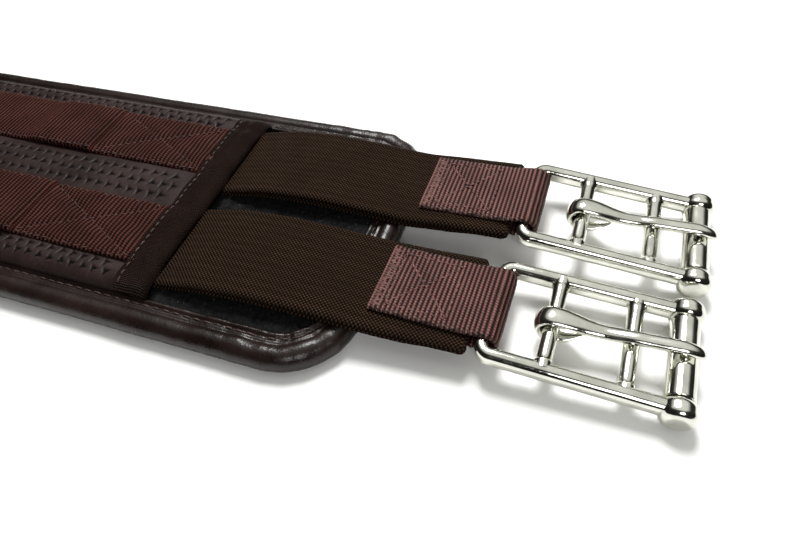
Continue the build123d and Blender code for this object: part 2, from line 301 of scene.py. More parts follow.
class Paint:
    """A material's node tree, with short ways to add and join nodes."""

    def __init__(self, name):
        self.material = bpy.data.materials.new(name)
        self.material.use_nodes = True
        self.tree = self.material.node_tree
        self.shader = self.tree.nodes["Principled BSDF"]

    def add(self, kind, inputs=(), **settings):
        node = self.tree.nodes.new(kind)
        for key, value in settings.items():
            setattr(node, key, value)
        for key, value in dict(inputs).items():
            if isinstance(value, bpy.types.NodeSocket):
                self.tree.links.new(value, node.inputs[key])
            else:
                node.inputs[key].default_value = value
        return node

    def lay(self):
        return self.add("ShaderNodeAttribute", attribute_name="lay").outputs["Vector"]

    def place(self):
        return self.add("ShaderNodeTexCoord").outputs["Object"]

    def scaled(self, vector, scale):
        node = self.add("ShaderNodeMapping", {"Vector": vector, "Scale": scale})
        return node.outputs["Vector"]

    def noise(self, vector, scale, detail=3.0, rough=0.55):
        inputs = {"Vector": vector, "Scale": scale, "Detail": detail, "Roughness": rough}
        return self.add("ShaderNodeTexNoise", inputs).outputs["Fac"]

    def cells(self, vector, scale):
        node = self.add("ShaderNodeTexVoronoi", {"Vector": vector, "Scale": scale})
        return node.outputs["Distance"]

    def math(self, kind, a, b=0.0, c=0.0):
        node = self.add("ShaderNodeMath", {0: a, 1: b, 2: c}, operation=kind)
        return node.outputs[0]

    def span(self, value, low, high, to_low, to_high):
        inputs = {"Value": value, "From Min": low, "From Max": high, "To Min": to_low, "To Max": to_high}
        return self.add("ShaderNodeMapRange", inputs).outputs["Result"]

    def mix(self, share, a, b):
        node = self.add("ShaderNodeMix", data_type="RGBA")
        for key, value in ((0, share), (6, a), (7, b)):
            if isinstance(value, bpy.types.NodeSocket):
                self.tree.links.new(value, node.inputs[key])
            else:
                node.inputs[key].default_value = value if key == 0 else (*value, 1)
        return node.outputs[2]

    def bump(self, height, strength, distance, under=None):
        inputs = {"Height": height, "Strength": strength, "Distance": distance}
        if under is not None:
            inputs["Normal"] = under
        return self.add("ShaderNodeBump", inputs).outputs["Normal"]

    def finish(self, colour, rough, normal=None, **fixed):
        for key, value in (("Base Color", colour), ("Roughness", rough), ("Normal", normal)):
            if value is not None:
                self.tree.links.new(value, self.shader.inputs[key])
        for key, value in fixed.items():
            self.shader.inputs[key.replace("_", " ")].default_value = value
        return self.material


def leather(name, dark, light, grain, rough_low, wear, shine=0.3, punched_holes=False):
    """Soft leather: pebbled grain, fine creases, cloudy colour and shinier worn highs."""
    paint = Paint(name)
    place = paint.place()
    clouds = paint.noise(place, 55, 4)
    pebbles = paint.cells(place, grain)
    fine = paint.noise(place, grain * 1.6, 5, 0.6)
    creases = paint.noise(paint.scaled(place, (1.0, 1.0, 0.4)), 260, 6, 0.7)
    colour = paint.mix(paint.span(clouds, 0.3, 0.7, 0, 1), dark, light)
    colour = paint.mix(paint.span(pebbles, 0.0, 0.75, 0.0, 0.35), colour, tuple(c * 0.35 for c in dark))
    colour = paint.mix(paint.span(creases, 0.56, 0.74, 0, wear), colour, tuple(c * 2.4 for c in light))
    rough = paint.span(paint.math("ADD", clouds, creases), 0.7, 1.3, rough_low, rough_low + 0.16)
    if punched_holes:
        # Painted shade: the punched holes and the creases round them are darkened towards near-black by their
        # depth, and made rougher with it.
        parts = paint.add("ShaderNodeSeparateXYZ", {"Vector": paint.lay()})
        painted_hole_shade = paint.span(parts.outputs[2], -0.45, -0.05, 1.0, 0.0)
        colour = paint.mix(paint.math("MULTIPLY", painted_hole_shade, 0.96), colour, (0.0012, 0.0008, 0.0007))
        rough = paint.math("MULTIPLY_ADD", painted_hole_shade, 0.6, rough)
    normal = paint.bump(paint.math("MULTIPLY", pebbles, -1.0), 0.35, 0.00012)
    normal = paint.bump(fine, 0.25, 0.0001, normal)
    normal = paint.bump(creases, 0.35, 0.00025, normal)
    return paint.finish(colour, rough, normal, Specular_IOR_Level=shine)


def webbing_cloth(name, dark, light, weave, gloss=0.1, warp_share=0.3):
    """Ribbed webbing: ribs across, with short warp floats staggered from rib to rib."""
    paint = Paint(name)
    lay = paint.lay()
    parts = paint.add("ShaderNodeSeparateXYZ", {"Vector": lay})
    s, v = parts.outputs[0], parts.outputs[1]
    rib = paint.math("SINE", paint.math("MULTIPLY", s, 2 * pi / weave))
    warp = paint.math("MULTIPLY", v, 2 * pi / 0.92)
    half_step = paint.math("MULTIPLY", paint.math("FLOOR", paint.math("MULTIPLY", s, 1 / weave)), pi)
    warp = paint.math("SINE", paint.math("ADD", warp, half_step))
    height = paint.math("MULTIPLY_ADD", warp, warp_share, paint.math("MULTIPLY", rib, 1 - warp_share))
    strands = paint.noise(paint.scaled(lay, (0.35, 3.2, 1.0)), 2.0, 4, 0.65)
    clouds = paint.noise(paint.place(), 90, 3)
    height = paint.math("MULTIPLY_ADD", strands, 0.8, height)
    # Painted highlight and shade: the colour follows the weave's height, light on the rib tops and floats and
    # dark in the grooves between them.
    painted_relief_shading = paint.math("POWER", paint.span(height, -0.35, 1.35, 0.0, 1.0), 1.8)
    colour = paint.mix(painted_relief_shading, dark, light)
    colour = paint.mix(paint.span(clouds, 0.35, 0.7, 0.0, 0.35), colour, tuple(c * 0.5 for c in dark))
    rough = paint.span(strands, 0.3, 0.7, 0.38, 0.55)
    normal = paint.bump(height, 0.9, 0.0004)
    return paint.finish(colour, rough, normal, Specular_IOR_Level=gloss)


def elastic_cloth():
    """Dense elastic: fine ribs along the strap, crossed by a twill of fine knops."""
    paint = Paint("elastic_weave")
    lay = paint.lay()
    parts = paint.add("ShaderNodeSeparateXYZ", {"Vector": lay})
    s, v = parts.outputs[0], parts.outputs[1]
    along = paint.math("MULTIPLY", s, 2 * pi / KNOP_ALONG)
    across = paint.math("MULTIPLY", v, 2 * pi / KNOP_ACROSS)
    twill = paint.math("ADD", along, across)
    counter = paint.math("SUBTRACT", along, across)
    knops = paint.math("MULTIPLY", paint.math("SINE", twill), 0.5)
    knops = paint.math("MULTIPLY_ADD", paint.math("SINE", counter), 0.5, knops)
    cords = paint.math("SINE", paint.math("MULTIPLY", v, 2 * pi / 3.1))
    strands = paint.noise(paint.scaled(lay, (0.12, 2.2, 1.0)), 1.6, 4, 0.6)
    clouds = paint.noise(paint.place(), 70, 3)
    height = paint.math("MULTIPLY_ADD", cords, 0.07, knops)
    height = paint.math("MULTIPLY_ADD", strands, 0.7, height)
    # Painted highlight and shade: the colour follows the relief's height, light on the knops and dark between
    # them.
    painted_relief_shading = paint.math("POWER", paint.span(height, -0.3, 1.35, 0, 1), 2.4)
    colour = paint.mix(painted_relief_shading, (0.0045, 0.0024, 0.0015), (0.088, 0.051, 0.031))
    colour = paint.mix(paint.span(clouds, 0.35, 0.75, 0, 0.4), colour, (0.010, 0.0062, 0.0042))
    rough = paint.span(height, -1, 1.5, 0.7, 0.5)
    normal = paint.bump(height, 0.9, 0.0003)
    return paint.finish(colour, rough, normal, Specular_IOR_Level=0.04)


def felt_cloth():
    """Fuzzy felt: black-navy fibres with pale flecks of lint."""
    paint = Paint("felt_fuzz")
    place = paint.place()
    fluff = paint.noise(place, 620, 6, 0.85)
    tufts = paint.noise(place, 260, 4, 0.6)
    lint = paint.cells(place, 420)
    colour = paint.mix(paint.span(fluff, 0.35, 0.7, 0, 1), (0.0008, 0.0008, 0.0008), (0.020, 0.020, 0.0205))
    colour = paint.mix(paint.span(lint, 0.0, 0.11, 0.8, 0.0), colour, (0.16, 0.18, 0.19))
    rough = paint.span(tufts, 0.3, 0.7, 0.85, 1.0)
    normal = paint.bump(fluff, 0.9, 0.0005)
    normal = paint.bump(tufts, 0.6, 0.0008, normal)
    return paint.finish(colour, rough, normal, Specular_IOR_Level=0.08)


def thread_fibre(name, dark, light):
    """Twisted sewing thread."""
    paint = Paint(name)
    place = paint.place()
    twist = paint.noise(paint.scaled(place, (1.0, 1.0, 0.5)), 1500, 3, 0.5)
    clouds = paint.noise(place, 200, 2)
    colour = paint.mix(paint.span(paint.math("ADD", twist, clouds), 0.75, 1.25, 0, 1), dark, light)
    rough = paint.span(twist, 0.3, 0.7, 0.45, 0.7)
    return paint.finish(colour, rough, paint.bump(twist, 0.5, 0.0001), Specular_IOR_Level=0.3)


def polished_steel():
    """Cast and tumbled stainless steel: slightly uneven polish with hairline marks."""
    paint = Paint("polished_steel")
    place = paint.place()
    clouds = paint.noise(place, 130, 4)
    hairlines = paint.noise(paint.scaled(place, (0.25, 1.0, 1.0)), 1400, 4, 0.7)
    pits = paint.cells(place, 600)
    tint = paint.mix(paint.span(clouds, 0.35, 0.65, 0, 1), (0.62, 0.625, 0.56), (0.78, 0.78, 0.71))
    tint = paint.mix(paint.span(pits, 0.0, 0.12, 0.25, 0.0), tint, (0.35, 0.34, 0.31))
    rough = paint.span(paint.math("ADD", clouds, hairlines), 0.75, 1.25, 0.05, 0.16)
    normal = paint.bump(clouds, 0.12, 0.0006)
    normal = paint.bump(hairlines, 0.05, 0.00005, normal)
    return paint.finish(tint, rough, normal, Metallic=1.0)


binding_leather = leather(
    "binding_leather", (0.009, 0.0048, 0.0040), (0.024, 0.0135, 0.0112), 1500, 0.22, 0.08, 0.32
)
skin_leather = leather("underside_leather", (0.018, 0.0105, 0.009), (0.034, 0.021, 0.018), 1300, 0.38, 0.06)
cover_leather = leather(
    "cover_leather",
    (0.015, 0.0086, 0.0076),
    (0.035, 0.0210, 0.0186),
    2100,
    0.40,
    0.10,
    0.14,
    punched_holes=True,
)
band_cloth = webbing_cloth("band_grosgrain", (0.0085, 0.0046, 0.0036), (0.050, 0.0300, 0.0240), 0.55, 0.04)
row_cloth = webbing_cloth("row_webbing", (0.0045, 0.0013, 0.0010), (0.118, 0.041, 0.032), 1.7, 0.05, 0.26)
loop_cloth = webbing_cloth("loop_webbing", (0.0070, 0.0020, 0.0017), (0.31, 0.142, 0.123), 1.4, 0.14, 0.28)
elastic_mat = elastic_cloth()
felt_mat = felt_cloth()
brown_thread = thread_fibre("brown_thread", (0.016, 0.0095, 0.0078), (0.075, 0.046, 0.038))
row_thread = thread_fibre("row_thread", (0.006, 0.0030, 0.0024), (0.036, 0.018, 0.0145))
cross_thread = thread_fibre("cross_thread", (0.016, 0.0068, 0.0054), (0.070, 0.031, 0.025))
loop_thread = thread_fibre("loop_thread", (0.024, 0.0085, 0.0068), (0.19, 0.088, 0.074))
edge_thread = thread_fibre("edge_thread", (0.006, 0.0032, 0.0026), (0.042, 0.024, 0.019))
steel = polished_steel()


# ---------------------------------------------------------------- the pad


def pad_outline(inset, step):
    """The pad's outline seen from above, at an inset from its edge."""
    half, corner = PAD_HALF - inset, PAD_CORNER_R - inset
    ex, ey = PAD_END_X - inset - corner, half - corner
    parts = []
    for cx, cy, start in ((ex, -ey, -90), (ex, ey, 0), (-ex, ey, 90), (-ex, -ey, 180)):
        angles = np.radians(np.linspace(start, start + 90, 40))
        parts.append(np.stack([cx + corner * np.cos(angles), cy + corner * np.sin(angles)], 1))
    return resample(np.concatenate(parts + [parts[0][:1]]), step, closed=True)


BINDING_SECTION = (
    (10.75, 7.05), (10.55, 7.5), (10.1, 7.78), (9.6, 7.8), (9.1, 7.5), (8.5, 7.32), (7.9, 7.5), (7.4, 7.45),
    (6.9, 7.2), (6.4, 7.42), (5.6, 7.9), (4.4, 8.15), (3.1, 8.0), (1.8, 7.3), (0.7, 6.0), (0.1, 4.3),
    (0.25, 2.6), (1.0, 1.2), (2.2, 0.35), (3.8, 0.05), (5.6, 0.04), (7.3, 0.05), (8.0, 0.3), (7.9, 0.85),
)


def corner_share(x):
    """How far round the pad's rounded end a point is, where the leather puckers most."""
    return smooth_step(np.abs(x), PAD_END_X - 62, PAD_END_X - 30)


def build_binding():
    rim = pad_outline(0, BINDING_STEP)
    ahead = np.roll(rim, -1, 0) - np.roll(rim, 1, 0)
    ahead /= np.linalg.norm(ahead, axis=1)[:, None]
    out = np.stack([ahead[:, 1], -ahead[:, 0]], 1)
    section = smooth_line(BINDING_SECTION, 0.42)
    inside = np.array([(6.0, 0.9), (3.9, 1.1), (3.7, 3.8), (3.9, 6.5), (6.5, 6.72), (9.5, 6.74)])
    section = np.concatenate([section, inside])
    ring = len(section)
    along = np.arange(len(rim)) * BINDING_STEP
    d = np.broadcast_to(section[None, :, 0], (len(rim), ring))
    z = np.broadcast_to(section[None, :, 1], d.shape).copy()
    bends = corner_share(rim[:, 0])[:, None]
    a = np.broadcast_to(along[:, None], d.shape)
    shown = (z > 0.9) & (np.arange(ring)[None, :] < ring - len(inside))
    lip = np.exp(-(((d - 8.9) / 1.4) ** 2)) * (z > 6)
    wrinkle = soft_noise(a, d * 0.55, 2.4, 11) * 0.20 + soft_noise(a, d * 0.9, 5.5, 12) * 0.22
    pucker = np.abs(soft_noise(a, d * 0.15, 3.1, 13)) * -0.5
    push = (wrinkle + pucker * lip * 1.3) * (0.16 + 0.84 * bends)
    push = push + soft_noise(a, d, 17, 14) * 0.16 + soft_noise(a, d * 2, 7, 15) * 0.08
    stitch = -0.22 * np.exp(-(((d - 8.5) / 0.7) ** 2)) * (z > 6)
    push = (push + stitch) * shown
    # push out of the leather's face: up on the lip, outward round the roll
    lean = np.clip((5.2 - d) / 5.2, 0, 1) * shown
    z_new = z + push * (1 - lean * 0.55)
    d_new = d - push * lean * 0.8
    d_new = np.maximum(d_new, -0.25)
    z_new = np.maximum(z_new, 0.0)
    x = rim[:, None, 0] - out[:, None, 0] * d_new
    y = rim[:, None, 1] - out[:, None, 1] * d_new
    points = np.stack([x, y, z_new], -1).reshape(-1, 3)
    lay = np.stack([a, d, z], -1).reshape(-1, 3)
    made = piece("edge_binding", points, wrap_faces(len(rim), ring, loop=True)[:, ::-1], binding_leather, lay)
    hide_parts("edge_binding_left", "edge_binding_right")
    seam = pad_outline(8.5, 0.6)
    seam = np.concatenate([seam, seam[:1]])
    line = np.column_stack([seam, np.full(len(seam), 7.3)])
    ups = np.tile((0.0, 0.0, 1.0), (len(line), 1))
    sewn = threads("binding_stitches", stitch_runs(line, ups, 2.7, 1.0, 0.1, 21), brown_thread, 0.3)
    return [made, sewn]


def pad_sheet(name, inset, low, high, material, relief, fine_from, edge=0.5):
    """A closed flat layer with the pad's outline, fine-meshed beyond fine_from."""
    half, corner = PAD_HALF - inset, PAD_CORNER_R - inset
    end = PAD_END_X - inset
    fine = np.arange(fine_from, end - 0.4, 0.8)
    coarse = np.linspace(-fine_from, fine_from, 60)[1:-1]
    last = np.array([end - 0.25, end])
    xs = np.concatenate([-last[::-1], -fine[::-1], coarse, fine, last])
    over = np.clip(np.abs(xs) - (end - corner), 0, corner)
    width = half - corner + np.sqrt(np.maximum(corner**2 - over**2, 0))
    t = np.linspace(-1, 1, 130)
    top_y = width[:, None] * t
    near_edge = np.minimum(half - np.abs(top_y), end - np.abs(xs)[:, None])
    rounded = (1 - np.exp(-np.maximum(near_edge, 0) / edge)) * 0.6 - 0.6
    x = np.broadcast_to(xs[:, None], top_y.shape)
    top = np.stack([x, top_y, high + rounded + relief(x, top_y)], -1)
    under = np.linspace(1, -1, 130)
    low_y = width[:, None] * under
    bottom = np.stack([np.broadcast_to(xs[:, None], low_y.shape), low_y, np.full(low_y.shape, low)], -1)
    points = np.concatenate([top, bottom], 1)
    return piece(name, points.reshape(-1, 3), wrap_faces(len(xs), 260), material, points.reshape(-1, 3))


def felt_relief(x, y):
    shown = smooth_step(np.abs(x), MOUTH_X - 14, MOUTH_X - 4)
    lip = smooth_step(PAD_HALF - np.abs(y), LIP - 1.0, LIP + 3) * smooth_step(
        PAD_END_X - np.abs(x), LIP - 1.0, LIP + 3
    )
    fluff = soft_noise(x, y, 1.6, 31) * 0.22
    fluff = fluff + soft_noise(x, y, 3.4, 32) * 0.22 + soft_noise(x, y, 9, 33) * 0.2
    return (0.12 + fluff * 0.8) * shown * lip - 0.25


def build_pad():
    felt = pad_sheet("felt_pad", 3.9, 1.05, 6.85, felt_mat, felt_relief, MOUTH_X - 12)
    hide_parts("foam_core_left", "foam_core_right", "felt_lining_left", "felt_lining_right")

    def creased(x, y):
        return soft_noise(x, y, 26, 41) * 0.03

    skin = pad_sheet("underside_skin", 8.05, 0.02, 1.0, skin_leather, creased, MOUTH_X)
    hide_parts("base_skin_left", "base_skin_right")
    return [felt, skin]


# ---------------------------------------------------------------- the cover


def cover_height(y):
    """The cover's top, seen along the girth: puffed between the webbings, falling to the binding."""
    a = np.abs(np.asarray(y, float))
    middle = 11.65 + 0.75 * np.cos(np.clip(a / 9.05, 0, 1) * pi / 2)
    edge = 11.55 + 0.45 * np.sin(np.clip((a - 34.4) / 8.0, 0, 1) * pi)
    drop = np.clip((a - 39.6) / (COVER_HALF - 39.6), 0, 1)
    fall = 3.5 * (1 - np.sqrt(np.maximum(1 - drop**2.2, 0)))
    return np.where(a < 9.05, middle, np.where(a < 34.4, 11.6, edge - fall))


PUNCH_PITCH = 4.5


def punch_marks():
    """Where the cover is punched: staggered rows in the middle strip and in the two edge strips."""
    marks = []
    span = BAND_X - 3.0
    for y, shift in PUNCH_ROWS:
        count = int(2 * span / PUNCH_PITCH)
        for k in range(count + 1):
            x = -span + (k + shift) * PUNCH_PITCH
            if abs(x) < span:
                marks.append((x, y))
    return np.array(marks)


def punched(x, y):
    """The cover's relief: three-armed punched holes, with soft creases between them."""
    depth = np.zeros_like(x)
    rng = np.random.default_rng(51)
    xs, ys = x[:, 0], y[0]
    for mx, my in punch_marks():
        mx, my = mx + rng.uniform(-0.2, 0.2), my + rng.uniform(-0.15, 0.15)
        turn = rng.uniform(-0.35, 0.35)
        rows = np.where(np.abs(xs - mx) < 3.2)[0]
        cols = np.where(np.abs(ys - my) < 3.2)[0]
        if not len(rows) or not len(cols):
            continue
        part = np.ix_(rows, cols)
        dx, dy = x[part] - mx, y[part] - my
        r, angle = np.hypot(dx, dy), np.arctan2(dy, dx)
        arms = np.cos(3 * angle + turn * 3)
        star = r / (1.02 + 0.50 * arms)
        hole = 0.95 * (1 - smooth_step(star, 0.25, 1.0))
        crease = 0.34 * np.clip(arms, 0, 1) ** 4 * (1 - smooth_step(r, 0.8, 3.1))
        depth[part] += -hole - crease
    return depth


def build_cover():
    end = BAND_X + 5.0
    xs = np.arange(-end, end + 0.01, 0.5)
    fine_middle = np.arange(-9.0, 9.01, 0.45)
    web = np.linspace(9.6, 33.8, 7)
    fine_edge = np.append(np.arange(34.4, 43.4, 0.45), [43.7, 44.0, 44.15, COVER_HALF])
    ys = np.concatenate([-fine_edge[::-1], -web[::-1], fine_middle, web, fine_edge])
    x, y = np.meshgrid(xs, ys, indexing="ij")
    holes = punched(x, y)
    z = cover_height(y) + holes
    z = z + soft_noise(x, y * 1.5, 6, 52) * 0.10 + soft_noise(x, y * 2.0, 22, 53) * 0.10
    z = np.maximum(z, 8.0)
    top = np.stack([x, y, z], -1)
    under_y = ys[::-1]
    squeeze = 1 - 1.1 / COVER_HALF
    xu, yu = np.meshgrid(xs, under_y * squeeze, indexing="ij")
    zu = cover_height(yu / squeeze) - 1.0
    zu = np.where(np.abs(yu) > 42.9, np.minimum(zu, 7.72), zu)
    bottom = np.stack([xu, yu, zu], -1)
    points = np.concatenate([top, bottom], 1)
    lay = points.copy()
    # The holes' depth goes into lay's third place, where the cover's material paints shade into them.
    lay[:, : len(ys), 2] = holes
    lay[:, len(ys) :, 2] = 0
    made = piece(
        "perforated_cover",
        points.reshape(-1, 3),
        wrap_faces(len(xs), 2 * len(ys)),
        cover_leather,
        lay.reshape(-1, 3),
    )
    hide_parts("perforated_cover_left", "perforated_cover_right")
    return made


def build_cover_padding():
    xs = np.concatenate([[-143.0], np.linspace(-142.6, 142.6, 60), [143.0]])
    ys = np.linspace(-42.6, 42.6, 61)
    x, y = np.meshgrid(xs, ys, indexing="ij")
    shrink = np.where(np.abs(x) > 142.8, 0.6, 0.0)
    edge = np.clip((np.abs(y) - 38.0) / 4.6, 0, 1)
    z = cover_height(y * 1.03) - 1.15 - shrink - edge * 0.5
    top = np.stack([x, y, np.maximum(z, 7.2)], -1)
    yu = y[:, ::-1]
    bottom = np.stack([x, yu, np.full(x.shape, 6.75) + shrink * 0.3], -1)
    points = np.concatenate([top, bottom], 1).reshape(-1, 3)
    made = piece("cover_padding", points, wrap_faces(len(xs), 2 * len(ys)), felt_mat, points)
    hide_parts("cover_padding_left", "cover_padding_right")
    return made


# ---------------------------------------------------------------- webbing rows


def web_sag(v):
    """The sewn edges of a webbing row, held down."""
    return -0.42 * smooth_step(np.abs(v), ROW_HALF - 2.6, ROW_HALF - 0.8)


def long_row_middle(x):
    """The long webbing's middle height along the girth."""
    a = np.abs(x)
    return WEB_LOW + WEB_T / 2 + WEB_T * smooth_step(a, LAP_X - 9, LAP_X + 1)


def cross_crease(u, v, half_u, half_v):
    """Valleys along the two diagonals of a sewn box."""
    a = np.abs(u / half_u - v / half_v) * half_v / 1.4
    b = np.abs(u / half_u + v / half_v) * half_v / 1.4
    inside = (np.abs(u) < half_u) & (np.abs(v) < half_v)
    return -(np.exp(-((a / 1.3) ** 2)) + np.exp(-((b / 1.3) ** 2))) * 0.42 * inside


BOX_MIDDLE = (STEP_X + BAND_X) / 2
BOX_HALF_U = (BAND_X - STEP_X) / 2 - 1.5
BOX_HALF_V = 10.9


def build_rows():
    made = []
    for row, sign in ROW_SIDE.items():
        xs = np.arange(-STEP_X, STEP_X + 0.01, 0.3)
        line = np.stack([xs, long_row_middle(xs)], 1)

        def long_relief(s, v, side):
            x = s - STEP_X
            ribs = 0.2 * np.sin(s * 2 * pi / 1.7)
            waves = soft_noise(x, v + sign * 40, 11, 61) * 0.12
            ends = -0.5 * smooth_step(np.abs(x), STEP_X - 1.6, STEP_X)
            raised = smooth_step(np.abs(x), LAP_X - 10, LAP_X)
            hem = -1.35 * smooth_step(np.abs(v), 10.6, 11.4) * raised * (side < 0)
            return (ribs + waves) * (side > 0) + web_sag(v) + ends + hem

        def place(points, sign=sign):
            return points + (0, sign * ROW_Y, 0)

        long_web = tape(f"long_webbing_{row}", line, ROW_HALF, WEB_T, 34, row_cloth, long_relief, place)
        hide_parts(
            *(f"long_webbing_{end}_{row if end == 'right' else OTHER[row]}" for end in END_TURN),
        )
        made.append((long_web, "middle"))
    for end in END_TURN:
        for row, sign in ROW_SIDE.items():
            xs = np.arange(LAP_X + 1.5, BAND_X + 5.2, 0.3)
            line = np.stack([xs, np.full(len(xs), WEB_LOW + WEB_T / 2)], 1)

            def short_relief(s, v, side, seed=hash_seed(end, row)):
                x = s + LAP_X + 1.5
                ribs = 0.2 * np.sin(s * 2 * pi / 1.7)
                box = cross_crease(x - BOX_MIDDLE, v, BOX_HALF_U, BOX_HALF_V)
                dents = soft_noise(x * 0.6, v, 3.2, seed) * 0.22 + soft_noise(x, v, 8, seed + 1) * 0.3
                shown = smooth_step(x, STEP_X - 2, STEP_X + 2)
                return ((ribs + (box + dents) * shown) * (side > 0)) + web_sag(v)

            def place(points, sign=sign, end=end):
                return turned(points + (0, sign * ROW_Y, 0), "z", END_TURN[end])

            short_name = f"anchor_webbing_{end}_{row}"
            short = tape(short_name, line, ROW_HALF, WEB_T, 40, row_cloth, short_relief, place)
            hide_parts(f"anchor_webbing_{end}_{row}")
            made.append((short, end))
            runs = []
            corners = [
                (BOX_MIDDLE + a * BOX_HALF_U, b * BOX_HALF_V) for a, b in ((-1, -1), (1, 1), (1, -1), (-1, 1))
            ]
            for k, (p, q) in enumerate(((corners[0], corners[1]), (corners[2], corners[3]))):
                t = np.linspace(0, 1, 60)[:, None]
                flat = np.array(p) * (1 - t) + np.array(q) * t
                line3 = place(np.column_stack([flat, np.full(60, WEB_LOW + WEB_T - 0.34)]))
                runs += stitch_runs(line3, np.tile((0.0, 0.0, 1.0), (60, 1)), 2.0, 0.7, 0.1, 70 + k)
            sewn = threads(f"anchor_cross_{end}_{row}", runs, cross_thread, 0.26)
            made.append((sewn, end))
    return made


def build_row_seams():
    """The slanted stitches that hold the webbing rows' edges down."""
    groups = {"middle": [], "right": [], "left": []}
    for sign in (-1, 1):
        for edge in (-1, 1):
            y = sign * ROW_Y + edge * (ROW_HALF - 0.9)
            xs = np.arange(-STEP_X + 1, STEP_X, 1.0)
            line = np.stack([xs, np.full(len(xs), y), long_row_middle(xs) + WEB_T / 2 - 0.42], 1)
            ups = np.tile((0.0, 0.0, 1.0), (len(xs), 1))
            groups["middle"] += stitch_runs(line, ups, 1.9, 0.9, 0.5 * edge, 80 + edge + sign * 3)
            xs = np.arange(STEP_X + 1, BAND_X + 0.5, 1.0)
            line = np.stack([xs, np.full(len(xs), y), np.full(len(xs), WEB_LOW + WEB_T - 0.42)], 1)
            ups = np.tile((0.0, 0.0, 1.0), (len(xs), 1))
            for end in END_TURN:
                turned_line = turned(line, "z", END_TURN[end])
                groups[end] += stitch_runs(turned_line, ups, 1.9, 0.9, 0.5 * edge, 90 + edge + sign * 3)
    made = []
    for key, runs in groups.items():
        sewn = threads(f"row_stitches_{key}", runs, row_thread, 0.36)
        made.append((sewn, key))
    return made


# ---------------------------------------------------------------- end bands


def band_base(y):
    """What the end band lies on: the cover, with the webbing rows on it."""
    a = np.abs(y)
    rows = smooth_step(a, 8.2, 11.0) * (1 - smooth_step(a, 32.6, 35.4))
    return cover_height(y) + 0.12 + rows * 1.3


BAND_SECTION = (
    (-0.2, -0.05), (-0.15, 0.35), (0.3, 0.6), (1.2, 0.42), (1.9, 0.4), (2.7, 0.68), (3.6, 0.72), (4.3, 0.55),
    (5.0, 0.62), (6.2, 0.95), (7.8, 1.1), (9.4, 0.85), (10.8, 0.2), (11.7, -0.9), (12.0, -2.0),
)


def build_bands():
    made = []
    outer = smooth_line(BAND_SECTION, 0.4)
    ys = np.linspace(-COVER_HALF - 0.1, COVER_HALF + 0.1, 221)
    base = band_base(ys)
    base = np.convolve(np.pad(base, 4, mode="edge"), np.ones(9) / 9, "valid")
    tip = smooth_step(COVER_HALF + 0.1 - np.abs(ys), 0.0, 1.6)
    for end in END_TURN:
        rows = []
        for y, b, t in zip(ys, base, tip):
            floor = min(10.25, b - 1.7)
            top = outer.copy()
            height = b + top[:, 1] * (0.35 + 0.65 * t)
            height = np.maximum(height, floor + 0.1)
            x = top[:, 0] - (1 - t) * 0.8 * (top[:, 0] / 12)
            wobble = soft_noise(x * 0.8, np.full(len(x), y), 6, 101) * 0.14
            wobble += soft_noise(x * 0.4, np.full(len(x), y), 2.3, 102) * 0.05
            shell = np.column_stack([x, height + wobble * (top[:, 1] > 0.1)])
            tuck = [(11.6, floor - 0.25), (10.4, floor), (8.5, floor), (6.2, floor), (6.0, floor + 0.5)]
            tuck += [(6.0, b - 0.15), (5.0, b - 0.1), (3.0, b - 0.1), (1.0, b - 0.1)]
            rows.append(np.vstack([shell, np.array(tuck)]))
        ring = len(rows[0])
        section = np.array(rows)
        y = np.broadcast_to(ys[:, None], section.shape[:2])
        points = np.stack([section[..., 0] + BAND_X, y, section[..., 1]], -1).reshape(-1, 3)
        lay = np.stack([y, section[..., 0], np.ones_like(y)], -1).reshape(-1, 3)
        if ring % 2:
            raise ValueError("the band's section needs an even number of points")
        made_band = piece(
            f"end_band_{end}",
            turned(points, "z", END_TURN[end]),
            wrap_faces(len(ys), ring)[:, ::-1],
            band_cloth,
            lay,
        )
        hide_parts(f"end_band_{end}")
        made.append((made_band, end))
        line = np.column_stack([np.full(len(ys), BAND_X + 1.6), ys, base + 0.62])[4:-4]
        ups = np.tile((0.0, 0.0, 1.0), (len(line), 1))
        sewn = threads(
            f"band_stitches_{end}",
            stitch_runs(turned(line, "z", END_TURN[end]), ups, 2.1, 0.8, 0.08, 103),
            brown_thread,
            0.34,
        )
        made.append((sewn, end))
    return made


# ---------------------------------------------------------------- straps


OTHER = {"near": "far", "far": "near"}


def name_key(end, row):
    """The CAD's name for a strap: the left end is turned half a turn, so its near strap lies far."""
    side = row if end == "right" else {"near": "far", "far": "near"}[row]
    return f"{end}_{side}"


def hash_seed(end, row):
    return 200 + 10 * (end == "left") + 4 * (row == "far")


def strap_centre(row):
    """The strap's middle line in the mouth's frame, from inside the pocket to its folded tip."""
    run, bar = BAR_RUN[row], BAR_Z[row]
    back = (4.6 + 1.55) / hypot(run - FREE_RUN, CREST_Z - bar)
    tip = (run - back * (run - FREE_RUN), bar + back * (CREST_Z - bar))
    return [
        (-46.0, 8.55), (-12.0, 8.55), (-4.0, 8.55), (1.0, 8.7), (8.0, 10.0), (16.6, 11.6), (33.2, 12.2),
        (53.2, 10.75), (66.5, 9.35), (80.0, 0.45 * 9.3 + 0.55 * bar), tip,
    ]


